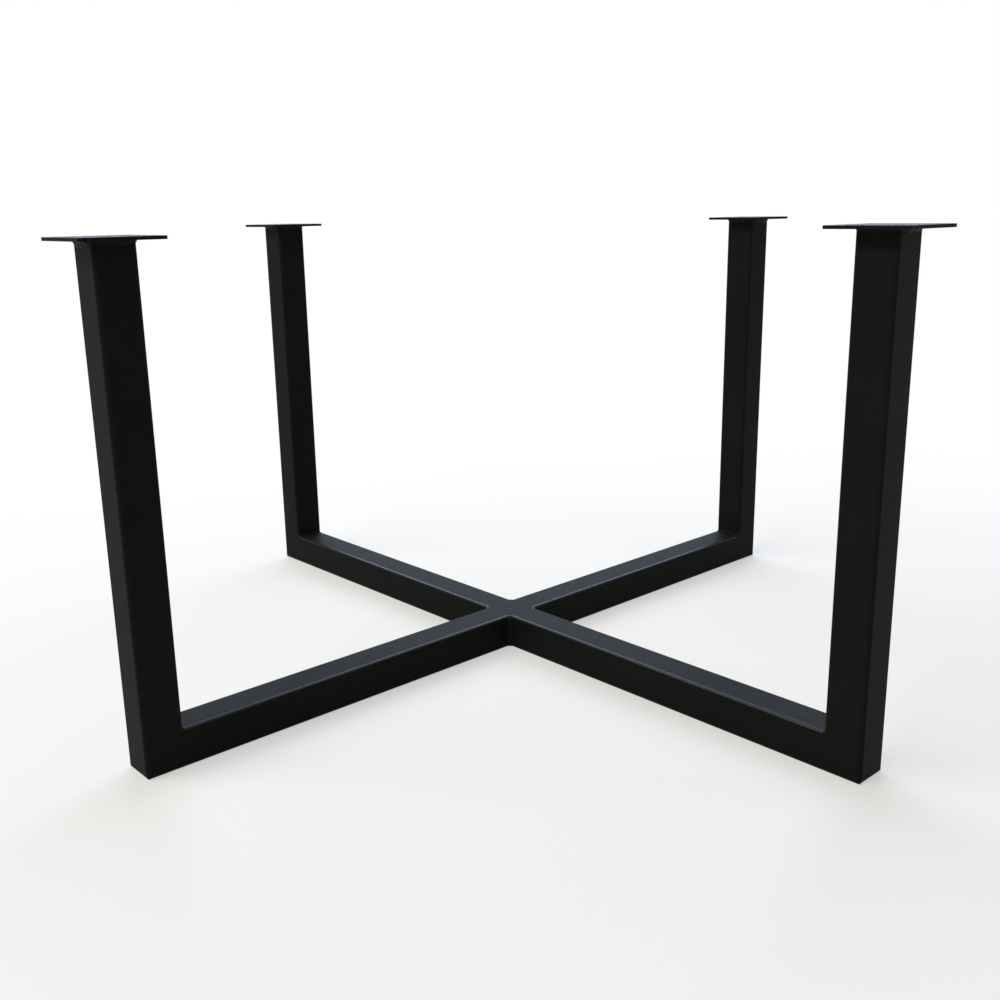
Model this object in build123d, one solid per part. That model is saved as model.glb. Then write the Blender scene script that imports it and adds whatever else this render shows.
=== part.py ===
"""Cross-base coffee table frame in square steel tube.

Two rails cross at right angles on the floor. An upright stands on each of their four ends,
mitred to it, and carries a square plate that the table top is screwed down to.
Millimetres, +Z up. The origin is on the floor, under the middle of the cross.
Left and right are -X and +X, front and back are -Y and +Y.
"""
import os

from build123d import *

# Overall sizes
frame_height = 400.0        # floor to the faces that carry the table top
upright_reach = 374.0       # middle of the cross to the middle of each upright

# Square tube
tube_side = 32.0
tube_wall = 2.0
tube_corner = 3.0           # radius of the tube's outside corners
bore_corner = 1.0           # radius of the corners inside the tube

# Top plates
plate_thickness = 2.5
plate_overhang = 15.25      # past the tube, on every side
plate_corner = 0.8          # radius left by deburring
screw_hole_radius = 3.0
screw_hole_edge = 7.25      # middle of a screw hole to the plate's edges

# Welds
plate_weld_leg = 2.0        # along the plate
plate_weld_drop = 3.5       # down the upright
corner_weld_leg = 1.5       # inside each mitred corner
cross_weld_leg = 2.5        # in the upright corners of the cross
root_face = 0.4             # of the tube's wall, left at the bottom of each weld bevel
ground_corner = 3.0         # radius that grinding leaves outside each mitred corner

# Worked out from the sizes above
half_side = tube_side / 2
bore_side = tube_side - 2 * tube_wall
rail_end = upright_reach + half_side
upright_top = frame_height - plate_thickness
plate_side = tube_side + 2 * plate_overhang
screw_spacing = plate_side - 2 * screw_hole_edge
weld_bevel = tube_wall - root_face
cross_reach = half_side + cross_weld_leg + tube_side
square = Rectangle(tube_side, tube_side)
mitre = Plane(origin=(rail_end, 0, 0), z_dir=(1, 0, 1))
butt = Plane(origin=(half_side, 0, 0), z_dir=(-1, 0, 0))

# Turn about the middle of the cross that takes the right-hand end to each of the others
ends = {"right": 0, "back": 90, "left": 180, "front": 270}


def tube_outline():
    """Outside of the tube's section."""
    return RectangleRounded(tube_side, tube_side, tube_corner)


def bore_outline():
    """Inside of the tube's section."""
    return RectangleRounded(bore_side, bore_side, bore_corner)


def along_rail(outline, start, end):
    """Runs a section along X, at the rails' height above the floor."""
    across = Plane(origin=(start, 0, half_side), x_dir=(0, 1, 0), z_dir=(1, 0, 0))
    return extrude(across * outline, amount=end - start)


def along_upright(outline):
    """Runs a section up the right-hand upright, from the floor to its plate."""
    return extrude(Pos(upright_reach, 0, 0) * outline, amount=upright_top)


def rail_side_of_mitre(bar):
    return split(bar, bisect_by=mitre, keep=Keep.BOTTOM)


def upright_side_of_mitre(bar):
    return split(bar, bisect_by=mitre, keep=Keep.TOP)


def bevelled(bar, cut):
    """Grinds the weld bevel along the edges of the end of a bar that lies in the plane of a cut."""
    end_face = bar.faces().filter_by(cut).sort_by(lambda face: abs(cut.to_local_coords(face.center()).Z))[0]
    return chamfer(end_face.edges(), weld_bevel)


def upright_bar():
    """Outside of the right-hand upright: mitred and bevelled at the foot, square at the top."""
    square_bar = upright_side_of_mitre(along_upright(square))
    return bevelled(square_bar, mitre) & along_upright(tube_outline())


def through_bar():
    """Outside of the right-hand half of the through rail, bevelled at its mitre."""
    square_bar = rail_side_of_mitre(along_rail(square, 0, rail_end))
    return bevelled(square_bar, mitre) & along_rail(tube_outline(), 0, rail_end)


def half_rail_bar():
    """Outside of the right-hand half rail, bevelled at its mitre and where it butts."""
    square_bar = rail_side_of_mitre(along_rail(square, half_side, rail_end))
    return bevelled(bevelled(square_bar, mitre), butt) & along_rail(tube_outline(), half_side, rail_end)


def corner_envelope():
    """Outside of one welded corner before grinding: rail end, weld face and upright in one form."""
    start = upright_reach - 3 * tube_side
    inner_face = upright_reach - half_side
    side_view = Polyline(
        (start, 0),
        (rail_end, 0),
        (rail_end, upright_top),
        (inner_face, upright_top),
        (inner_face, tube_side + corner_weld_leg),
        (inner_face - corner_weld_leg, tube_side),
        (start, tube_side),
        close=True,
    )
    block = extrude(make_face(Plane.XZ * side_view), amount=half_side, both=True)
    rims = block.faces().filter_by(Axis.Y).edges()
    long_rims = rims.filter_by(lambda edge: edge.center().X > start and edge.center().Z < upright_top)
    return fillet(long_rims, tube_corner)


def ground_off():
    """What grinding takes off the outside edge of the right-hand corner, to leave it round."""
    size = 2 * ground_corner
    block = Box(size, 2 * tube_side, size, align=(Align.MIN, Align.CENTER, Align.MAX))
    rounding = Rot(90, 0, 0) * Cylinder(ground_corner, 3 * tube_side)
    return Pos(rail_end - ground_corner, 0, ground_corner) * (block - rounding)


def upright():
    """The right-hand upright."""
    bore = upright_side_of_mitre(along_upright(bore_outline()))
    return upright_bar() - ground_off() - bore


def half_rail():
    """Rail from the side of the through rail to the right-hand upright."""
    bore = rail_side_of_mitre(along_rail(bore_outline(), half_side, rail_end))
    return half_rail_bar() - ground_off() - bore


def through_rail():
    """Rail in one length under both the left and the right upright."""
    bore = rail_side_of_mitre(along_rail(bore_outline(), 0, rail_end))
    right_half = through_bar() - ground_off() - bore
    return right_half + right_half.mirror(Plane.YZ)


def corner_weld():
    """Weld of the right-hand corner: a seam ground flush round the mitre and a bead inside it."""
    return corner_envelope() - upright_bar() - through_bar() - ground_off()


def cross_envelope():
    """Outside of the finished cross, with a weld face across each of its upright inside corners."""
    plan = Rectangle(2 * cross_reach, tube_side) + Rectangle(tube_side, 2 * cross_reach)
    between_weld_faces = (tube_side + cross_weld_leg) * 2**0.5
    plan += Rot(0, 0, 45) * Rectangle(between_weld_faces, between_weld_faces)
    block = extrude(plan, amount=tube_side)
    rims = block.faces().filter_by(Axis.Z).edges()
    long_rims = rims.filter_by(lambda edge: max(abs(edge.center().X), abs(edge.center().Y)) < cross_reach - 1)
    return fillet(long_rims, tube_corner)


def cross_weld():
    """Weld round the butted end of the right-hand half rail: two beads and two seams ground flush."""
    right_half = split(cross_envelope(), bisect_by=Plane.YZ, keep=Keep.TOP)
    crossing_bar = Rot(0, 0, 90) * along_rail(tube_outline(), -cross_reach, cross_reach)
    bore = along_rail(bore_outline(), 0, cross_reach)
    return right_half - crossing_bar - half_rail_bar() - bore


def plate_weld():
    """Bead swept round the top of the right-hand upright, under its plate."""
    path = (Pos(upright_reach, 0, upright_top) * tube_outline()).face().outer_wire()
    start = path @ 0
    along = path % 0
    across = Plane(origin=start, x_dir=along.cross(Vector(0, 0, 1)), z_dir=along)
    section = make_face(Polyline((0, 0), (plate_weld_leg, 0), (0, plate_weld_drop), close=True))
    return sweep(across * section, path=path)


def top_plate():
    """Plate on the right-hand upright, with a screw hole in each of its corners."""
    outline = RectangleRounded(plate_side, plate_side, plate_corner)
    holes = GridLocations(screw_spacing, screw_spacing, 2, 2) * Circle(screw_hole_radius)
    return extrude(Pos(upright_reach, 0, upright_top) * (outline - holes), amount=plate_thickness)


def frame_pieces():
    """Every piece in its place, by name."""
    pieces = {"through_rail": through_rail()}
    at_each_end = {
        "upright": upright(),
        "top_plate": top_plate(),
        "plate_weld": plate_weld(),
        "corner_weld": corner_weld(),
    }
    at_half_rails = {"half_rail": half_rail(), "cross_weld": cross_weld()}
    for end, turn in ends.items():
        made_here = dict(at_each_end)
        if end in ("front", "back"):
            made_here.update(at_half_rails)
        for kind, piece in made_here.items():
            pieces[f"{kind}_{end}"] = Rot(0, 0, turn) * piece
    return pieces


os.makedirs("parts", exist_ok=True)
for name, piece in frame_pieces().items():
    export_step(piece, f"parts/{name}.step")
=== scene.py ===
"""Looks, light and camera for the coffee table frame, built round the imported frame.

Metres, +Z up. The frame stands on the floor, with the middle of its cross at the origin.
Left and right are -X and +X, front and back are -Y and +Y.
"""
import math
from collections import namedtuple

import bmesh
import bpy
from mathutils import Matrix, Vector, noise


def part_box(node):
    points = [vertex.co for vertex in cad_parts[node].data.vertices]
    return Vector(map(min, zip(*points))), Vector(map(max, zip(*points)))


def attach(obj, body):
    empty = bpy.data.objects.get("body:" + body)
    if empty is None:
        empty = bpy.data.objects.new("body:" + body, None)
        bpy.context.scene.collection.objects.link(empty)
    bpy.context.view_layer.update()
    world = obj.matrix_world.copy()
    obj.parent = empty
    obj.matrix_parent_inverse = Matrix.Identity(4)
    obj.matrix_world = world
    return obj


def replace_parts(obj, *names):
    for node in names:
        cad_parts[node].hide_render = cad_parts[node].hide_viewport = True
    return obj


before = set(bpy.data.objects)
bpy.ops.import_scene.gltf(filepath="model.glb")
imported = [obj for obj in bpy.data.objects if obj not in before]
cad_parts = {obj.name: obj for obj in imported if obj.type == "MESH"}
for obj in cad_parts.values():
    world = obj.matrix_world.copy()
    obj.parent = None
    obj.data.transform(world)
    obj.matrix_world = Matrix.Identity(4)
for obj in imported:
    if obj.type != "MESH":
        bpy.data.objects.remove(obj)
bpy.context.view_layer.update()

# Camera, fitted to the edges of the frame in the photograph
image_side = 1000                      # pixels
focal_length = 1100.3                  # pixels
horizon_offset = 11.2                  # pixels, from the crop's middle up to the lens axis
camera_place = (0.7504, -0.6970, 0.4149)
camera_heading = 47.59                 # degrees, turned left of +Y
camera_pitch = -14.35                  # degrees
camera_roll = -0.93                    # degrees
sensor_width = 36.0                    # millimetres
nearest_seen = 0.01
furthest_seen = 100.0

# Powder coat
paint_dark = (0.0066, 0.0065, 0.0060, 1.0)
paint_light = (0.0110, 0.0108, 0.0100, 1.0)
paint_ior = 1.10
flat_roughness = (0.44, 0.58)          # least and most, over the grain
edge_roughness = 0.24                  # the coat flows out smoother over the edges of the steel
bead_roughness = 0.32                  # and a little smoother over the beads
edge_turn = 0.05                       # turn away from a flat face where that is reached, as 1 - cosine
rubbed_gloss = 0.48                    # gloss that wear gives the edges that face up
rubbed_roughness = 0.20
rubbed_rise = (0.45, 0.75)             # upward part of the normal where wear starts, and where it is full

# Noise in the coat: size of its features, how many finer layers it has, and how strong each is
grain_size = 0.0006
grain_layers = 3.0
grain_layer_share = 0.55
grain_range = (0.3, 0.7)               # part of the noise that the roughness follows
grain_bump = (0.5, 0.00012)            # strength, and height in metres
peel_size = 0.0022
peel_layers = 2.0
peel_layer_share = 0.5
peel_bump = (0.8, 0.0003)
tones_per_metre = 9.0                  # changes between the dark and the light paint
tone_layers = 4.0
tone_layer_share = 0.6

# Tube, where the frame doesn't say it
tube_corner = 0.003                    # radius of the tube's outside corners

# Edges of the top plates and of their screw holes, softened by the coat
plate_edge = 0.0004
plate_edge_segments = 2
plate_edge_angle = 60                  # degrees, turn from which an edge is softened
flat_angle = 1                         # degrees, turn up to which faces are taken as one
same_point = 1e-6                      # distance under which two points are taken as one
area_weight = 100                      # how much more a large face sways the shading than a small one

# Weld beads: legs are measured from the inside corner that a bead fills
plate_bead_drop = {"right": 0.0028, "back": 0.0040, "left": 0.0028, "front": 0.0044}
plate_bead_leg = 0.55                  # along the plate, as a share of the drop
plate_bead_corner = 0.32               # size at the tube's corners, as a share of that in a side's middle
plate_bead_start = {"right": 0.055, "back": 0.100, "left": 0.030, "front": 0.115}
start_size = 0.55                      # how much further down a bead reaches where it starts and ends
start_length = 0.005
corner_bead_rise = 0.0028              # up the upright
corner_bead_leg = 0.0022               # along the rail
cross_bead_leg = 0.0034
open_bead_end = 0.25                   # size of a bead in a corner or the cross at its ends, as a share
short_of_side = 0.1                    # how far such a bead stops short of the tube's sides, in tube corners
bead_bulge = 0.78                      # 1 is a flat face, less is a rounder one
ripple_pitch = 0.0022
ripple_height = 0.00032
ripple_share = 1 / 8                   # most that a ripple is of a bead's smaller leg
ripple_bend = 0.0014                   # how far a ripple's middle runs ahead of its ends
uneven_length = 0.006
uneven_share = 0.32
buried = 0.0003                        # depth of a bead's hidden back inside the steel
slice_step = 0.0002
face_points = 11
crease_angle = 55                      # degrees, turn from which a bead's edge is shaded sharp

# Seeds that make the noise differ from bead to bead, and between the two legs of a bead
other_leg = 45
in_corner = 10
in_cross = 100

# Stage
white = (1, 1, 1, 1)
surroundings_light = (0.93, 0.96, 1.0, 1)
surroundings_strength = 0.2
floor_colour = (0.90, 0.80, 0.68, 1.0)
floor_radius = 6.0
floor_sides = 96
floor_distance = (0.35, 1.2)           # from the middle, between which the floor turns white
floor_white = (0.5, 1.0)               # share of plain white in the floor at those two distances
lit_point = (0, 0, 0.2)                # what the softboxes face

# Turn about the middle of the cross, in degrees, that takes the right-hand end to each of the others
ends = {"right": 0, "back": 90, "left": 180, "front": 270}

# Signs of X and Y in each inside corner of the cross
cross_corners = {"front_right": (1, -1), "back_right": (1, 1), "back_left": (-1, 1), "front_left": (-1, -1)}

# A slice of a bead: its inside corner, the directions and lengths of its legs, and its place along the bead
Slice = namedtuple("Slice", "root first second first_leg second_leg run")


def camera():
    """Camera at the photograph's viewing angle."""
    data = bpy.data.cameras.new("camera")
    data.sensor_width = sensor_width
    data.lens = sensor_width * focal_length / image_side
    data.shift_y = -horizon_offset / image_side
    data.clip_start = nearest_seen
    data.clip_end = furthest_seen
    made = bpy.data.objects.new("camera", data)
    bpy.context.scene.collection.objects.link(made)
    turned = Matrix.Rotation(math.radians(camera_heading), 4, "Z")
    tipped = Matrix.Rotation(math.radians(90 + camera_pitch), 4, "X")
    rolled = Matrix.Rotation(math.radians(camera_roll), 4, "Z")
    made.matrix_world = Matrix.Translation(camera_place) @ turned @ tipped @ rolled
    bpy.context.scene.camera = made


class Nodes:
    """Adds shader nodes to a tree and links them."""

    def __init__(self, tree):
        self.tree = tree
        tree.nodes.clear()

    def add(self, kind, links=None, **settings):
        """Adds a node with its settings, and fills its sockets."""
        node = self.tree.nodes.new(kind)
        for name, value in settings.items():
            setattr(node, name, value)
        for socket, source in (links or {}).items():
            self.put(node, socket, source)
        return node

    def put(self, node, socket, source):
        """Links a socket to another node's, or gives it a plain value."""
        if isinstance(source, bpy.types.NodeSocket):
            self.tree.links.new(source, node.inputs[socket])
        else:
            node.inputs[socket].default_value = source

    def joined(self, operation, first, second):
        """Two values joined into one, such as their product."""
        return self.add("ShaderNodeMath", {0: first, 1: second}, operation=operation).outputs["Value"]

    def mapped(self, value, before, after, **settings):
        """A value carried over from one range to another."""
        ranges = {"From Min": before[0], "From Max": before[1], "To Min": after[0], "To Max": after[1]}
        return self.add("ShaderNodeMapRange", {"Value": value, **ranges}, **settings).outputs["Result"]

    def noise_texture(self, place, scale, layers, layer_share):
        """Noise from 0 to 1."""
        links = {"Vector": place, "Scale": scale, "Detail": layers, "Roughness": layer_share}
        return self.add("ShaderNodeTexNoise", links).outputs["Fac"]

    def bump(self, height, size, over=None):
        """Normal of a surface that a height makes uneven, on top of another normal where one is given."""
        strength, distance = size
        links = {"Height": height, "Strength": strength, "Distance": distance}
        if over is not None:
            links["Normal"] = over
        return self.add("ShaderNodeBump", links).outputs["Normal"]


def edge_share(nodes, normal):
    """0 on the steel's flat faces, which lie square to the axes, and 1 where a surface turns off them."""
    sizes = nodes.add("ShaderNodeVectorMath", {0: normal}, operation="ABSOLUTE")
    parts = nodes.add("ShaderNodeSeparateXYZ", {"Vector": sizes.outputs["Vector"]})
    either = nodes.joined("MAXIMUM", parts.outputs["X"], parts.outputs["Y"])
    largest = nodes.joined("MAXIMUM", either, parts.outputs["Z"])
    return nodes.mapped(largest, (1.0, 1.0 - edge_turn), (0.0, 1.0))


def rubbed_share(nodes, normal, share, gloss):
    """Gloss of the edges that face up."""
    parts = nodes.add("ShaderNodeSeparateXYZ", {"Vector": normal})
    rise = nodes.mapped(parts.outputs["Z"], rubbed_rise, (0.0, gloss))
    return nodes.joined("MULTIPLY", share, rise)


def powder_coat(name, over_edges, gloss):
    """Black powder coat, satin, with a fine grain over an orange peel.

    Takes the roughness over edges, and the gloss of the edges that face up, which may be 0.
    """
    material = bpy.data.materials.new(name)
    material.use_nodes = True
    nodes = Nodes(material.node_tree)
    coordinates = nodes.add("ShaderNodeTexCoord")
    place = coordinates.outputs["Object"]
    normal = coordinates.outputs["Normal"]
    share = edge_share(nodes, normal)
    grain = nodes.noise_texture(place, 1 / grain_size, grain_layers, grain_layer_share)
    peel = nodes.noise_texture(place, 1 / peel_size, peel_layers, peel_layer_share)
    tone = nodes.noise_texture(place, tones_per_metre, tone_layers, tone_layer_share)
    colour = nodes.add("ShaderNodeMixRGB", {"Fac": tone, "Color1": paint_dark, "Color2": paint_light})
    flat = nodes.mapped(grain, grain_range, flat_roughness)
    roughness = nodes.add("ShaderNodeMix", {"Factor": share, "A": flat, "B": over_edges})
    look = {
        "Base Color": colour.outputs["Color"],
        "Roughness": roughness.outputs["Result"],
        "IOR": paint_ior,
        "Normal": nodes.bump(peel, peel_bump, over=nodes.bump(grain, grain_bump)),
    }
    if gloss:
        look["Coat Weight"] = rubbed_share(nodes, normal, share, gloss)
        look["Coat Roughness"] = rubbed_roughness
    shader = nodes.add("ShaderNodeBsdfPrincipled", look)
    nodes.add("ShaderNodeOutputMaterial", {"Surface": shader.outputs["BSDF"]})
    return material


def soften_edges(plate):
    """Rounds the edges of a plate and of its holes a little, and keeps its faces flat in the shading."""
    merged = plate.modifiers.new("merged", "WELD")
    merged.merge_threshold = same_point
    flattened = plate.modifiers.new("flattened", "DECIMATE")
    flattened.decimate_type = "DISSOLVE"
    flattened.angle_limit = math.radians(flat_angle)
    rounded = plate.modifiers.new("rounded", "BEVEL")
    rounded.width = plate_edge
    rounded.segments = plate_edge_segments
    rounded.limit_method = "ANGLE"
    rounded.angle_limit = math.radians(plate_edge_angle)
    rounded.use_clamp_overlap = True
    evened = plate.modifiers.new("evened", "WEIGHTED_NORMAL")
    evened.mode = "FACE_AREA"
    evened.weight = area_weight


def bead_section(cut, pitch):
    """One slice of a bead: a rippled face from toe to toe, closed behind it inside the steel."""
    outward = (cut.first + cut.second).normalized()
    size = min(cut.first_leg, cut.second_leg)
    face = []
    for step in range(face_points):
        across = step / (face_points - 1)
        ahead = ripple_bend * (1 - (2 * across - 1) ** 2)
        wave = 0.5 + 0.5 * math.cos(math.tau * (cut.run - ahead) / pitch)
        lift = math.sin(math.pi * across) * wave * min(ripple_height, size * ripple_share)
        on_first = cut.first * cut.first_leg * across**bead_bulge
        on_second = cut.second * cut.second_leg * (1 - across) ** bead_bulge
        face.append(cut.root + on_first + on_second + outward * lift)
    behind_first = face[-1] - cut.second * buried
    behind_root = cut.root - (cut.first + cut.second) * buried
    behind_second = face[0] - cut.first * buried
    return face + [behind_first, behind_root, behind_second]


def bead(name, slices, pitch, closed=False):
    """Bead that runs through its slices, in a ring or with a cap at each end."""
    built = bmesh.new()
    rings = [[built.verts.new(point) for point in bead_section(cut, pitch)] for cut in slices]
    if closed:
        pairs = zip(rings, rings[1:] + rings[:1])
    else:
        pairs = zip(rings, rings[1:])
        built.faces.new(rings[0])
        built.faces.new(rings[-1])
    for ring, following in pairs:
        for index in range(len(ring)):
            built.faces.new((ring[index - 1], ring[index], following[index], following[index - 1]))
    bmesh.ops.recalc_face_normals(built, faces=built.faces)
    mesh = bpy.data.meshes.new(name)
    built.to_mesh(mesh)
    built.free()
    mesh.shade_smooth()
    mesh.set_sharp_from_angle(angle=math.radians(crease_angle))
    mesh.materials.append(paint_on_welds)
    made = bpy.data.objects.new(name, mesh)
    bpy.context.scene.collection.objects.link(made)
    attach(made, "root")
    return made


def unevenness(place, seed):
    """Smooth change of size along a bead, about 1."""
    return 1 + uneven_share * noise.noise(place / uneven_length + Vector((seed, 0, 0)))


def quarter_outline(half):
    """Length of a quarter of the tube's outline, from the middle of a side to the middle of the next."""
    return 2 * (half - tube_corner) + tube_corner * math.pi / 2


def outline_at(run, half):
    """Point and outward direction along the outline of the tube, from the middle of its +X side."""
    flat = half - tube_corner
    turns, along = divmod(run + flat, quarter_outline(half))
    bend = max(0.0, along - 2 * flat) / tube_corner
    outward = Vector((math.cos(bend), math.sin(bend), 0))
    point = Vector((flat, min(along, 2 * flat) - flat, 0)) + outward * tube_corner
    turned = Matrix.Rotation(turns * math.pi / 2, 3, "Z")
    return turned @ point, turned @ outward


def plate_bead(end, turn):
    """Bead round the top of an upright: small at the tube's corners, and deep where it starts."""
    low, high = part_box("upright_right")
    half = (high.y - low.y) / 2
    middle = Vector(((low.x + high.x) / 2, 0, high.z))
    quarter = quarter_outline(half)
    length = 4 * quarter
    placed = Matrix.Rotation(math.radians(turn), 3, "Z")
    down = Vector((0, 0, -1))
    count = round(length / slice_step)
    slices = []
    for index in range(count):
        run = length * index / count
        point, outward = outline_at(run, half)
        from_middle = 2 * abs((run / quarter + 0.5) % 1 - 0.5)
        from_start = abs((run - plate_bead_start[end] + length / 2) % length - length / 2)
        size = 1 - (1 - plate_bead_corner) * from_middle**2
        more = 1 + start_size * math.exp(-((from_start / start_length) ** 2))
        drop = plate_bead_drop[end] * size * more * unevenness(point, turn)
        leg = plate_bead_drop[end] * plate_bead_leg * size * unevenness(point, turn + other_leg)
        slices.append(Slice(placed @ (middle + point), placed @ outward, down, leg, drop, run))
    pitch = length / round(length / ripple_pitch)
    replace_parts(bead(f"plate_bead_{end}", slices, pitch, closed=True), f"plate_weld_{end}")


def places_across(half):
    """Places of the slices of a bead that crosses a side of the tube, measured from the side's middle."""
    reach = half - short_of_side * tube_corner
    return [index * slice_step - reach for index in range(round(2 * reach / slice_step) + 1)]


def fall_at(along, half):
    """How far a bar's face falls away over its round edges, at a distance across it from its middle."""
    flat = half - tube_corner
    bend = math.asin(max(0.0, min(1.0, (abs(along) - flat) / tube_corner)))
    return tube_corner * (1 - math.cos(bend))


def fade(along, half):
    """Size of an open bead along its length, full in the middle and small at its ends."""
    return 1 - (1 - open_bead_end) * abs(along / half) ** 4


def corner_bead(end, turn):
    """Bead inside a mitred corner, across the tube and over its round edges."""
    low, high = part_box("upright_right")
    half = (high.y - low.y) / 2
    rail_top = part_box("through_rail")[1].z
    placed = Matrix.Rotation(math.radians(turn), 3, "Z")
    inward = placed @ Vector((-1, 0, 0))
    up = Vector((0, 0, 1))
    slices = []
    for along in places_across(half):
        fall = fall_at(along, half)
        root = Vector((low.x + fall, along, rail_top - fall))
        size = fade(along, half)
        leg = corner_bead_leg * size * unevenness(root, turn + in_corner)
        rise = corner_bead_rise * size * unevenness(root, turn + in_corner + other_leg)
        slices.append(Slice(placed @ root, inward, up, leg, rise, along))
    bead(f"corner_bead_{end}", slices, ripple_pitch)


def cross_bead(corner, side, front):
    """Upright bead in one of the inside corners of the cross, over the round edges at its top and foot."""
    low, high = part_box("through_rail")
    half = (high.z - low.z) / 2
    outward = Vector((side, 0, 0))
    beside = Vector((0, front, 0))
    slices = []
    for along in places_across(half):
        inset = half - fall_at(along, half)
        root = Vector((side * inset, front * inset, half + along))
        size = fade(along, half)
        first_leg = cross_bead_leg * size * unevenness(root, in_cross)
        second_leg = cross_bead_leg * size * unevenness(root, in_cross + other_leg)
        slices.append(Slice(root, outward, beside, first_leg, second_leg, along))
    bead(f"cross_bead_{corner}", slices, ripple_pitch)


def seen_directly(nodes):
    """1 for what the camera sees, straight or by way of gloss or glass, and 0 for light on the object."""
    path = nodes.add("ShaderNodeLightPath")
    either = nodes.joined("MAXIMUM", path.outputs["Is Camera Ray"], path.outputs["Is Glossy Ray"])
    return nodes.joined("MAXIMUM", either, path.outputs["Is Transmission Ray"])


def studio():
    """Surroundings that the camera sees as white, and that light the object softly."""
    world = bpy.data.worlds.new("studio")
    bpy.context.scene.world = world
    world.use_nodes = True
    nodes = Nodes(world.node_tree)
    backdrop = nodes.add("ShaderNodeBackground", {"Color": white, "Strength": 1.0})
    light = nodes.add(
        "ShaderNodeBackground",
        {"Color": surroundings_light, "Strength": surroundings_strength},
    )
    both = nodes.add(
        "ShaderNodeMixShader",
        {0: seen_directly(nodes), 1: light.outputs["Background"], 2: backdrop.outputs["Background"]},
    )
    nodes.add("ShaderNodeOutputWorld", {"Surface": both.outputs["Shader"]})


def floor():
    """Pale floor that keeps the object's shadow and turns white further out."""
    material = bpy.data.materials.new("pale_floor")
    material.use_nodes = True
    nodes = Nodes(material.node_tree)
    place = nodes.add("ShaderNodeTexCoord").outputs["Object"]
    distance = nodes.add("ShaderNodeVectorMath", {0: place}, operation="LENGTH").outputs["Value"]
    far = nodes.mapped(distance, floor_distance, floor_white, interpolation_type="SMOOTHSTEP")
    matt = nodes.add("ShaderNodeBsdfDiffuse", {"Color": floor_colour})
    glow = nodes.add("ShaderNodeEmission", {"Color": white, "Strength": 1.0})
    both = nodes.add(
        "ShaderNodeMixShader",
        {
            0: nodes.joined("MULTIPLY", far, seen_directly(nodes)),
            1: matt.outputs["BSDF"],
            2: glow.outputs["Emission"],
        },
    )
    nodes.add("ShaderNodeOutputMaterial", {"Surface": both.outputs["Shader"]})
    bpy.ops.mesh.primitive_circle_add(
        vertices=floor_sides,
        radius=floor_radius,
        fill_type="NGON",
        location=(0, 0, 0),
    )
    made = bpy.context.object
    made.name = "floor"
    made.data.materials.append(material)


def lamp(name, place, size, power, colour):
    """Softbox that faces the middle of the frame."""
    data = bpy.data.lights.new(name, "AREA")
    data.shape = "RECTANGLE"
    data.size, data.size_y = size
    data.energy = power
    data.color = colour
    made = bpy.data.objects.new(name, data)
    bpy.context.scene.collection.objects.link(made)
    made.location = place
    made.rotation_euler = (Vector(lit_point) - Vector(place)).to_track_quat("-Z", "Y").to_euler()
    made.visible_camera = False


bpy.context.scene.view_settings.view_transform = "Standard"
camera()
studio()
floor()
lamp("back_softbox", place=(-1.85, 1.75, 1.70), size=(3.6, 0.7), power=88.0, colour=(0.55, 0.72, 1.0))
lamp("overhead_softbox", place=(-0.95, 0.95, 1.85), size=(2.4, 0.6), power=20.0, colour=(0.66, 0.80, 1.0))
lamp("left_softbox", place=(-0.5, -2.2, 2.3), size=(3.0, 0.5), power=58.0, colour=(0.94, 0.98, 1.0))

paint_on_steel = powder_coat("black_powder_coat_on_steel", edge_roughness, rubbed_gloss)
paint_on_welds = powder_coat("black_powder_coat_on_welds", bead_roughness, 0.0)
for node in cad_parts.values():
    node.material_slots[0].material = paint_on_steel
for end, turn in ends.items():
    soften_edges(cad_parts[f"top_plate_{end}"])
    plate_bead(end, turn)
    corner_bead(end, turn)
for corner, (side, front) in cross_corners.items():
    cross_bead(corner, side, front)
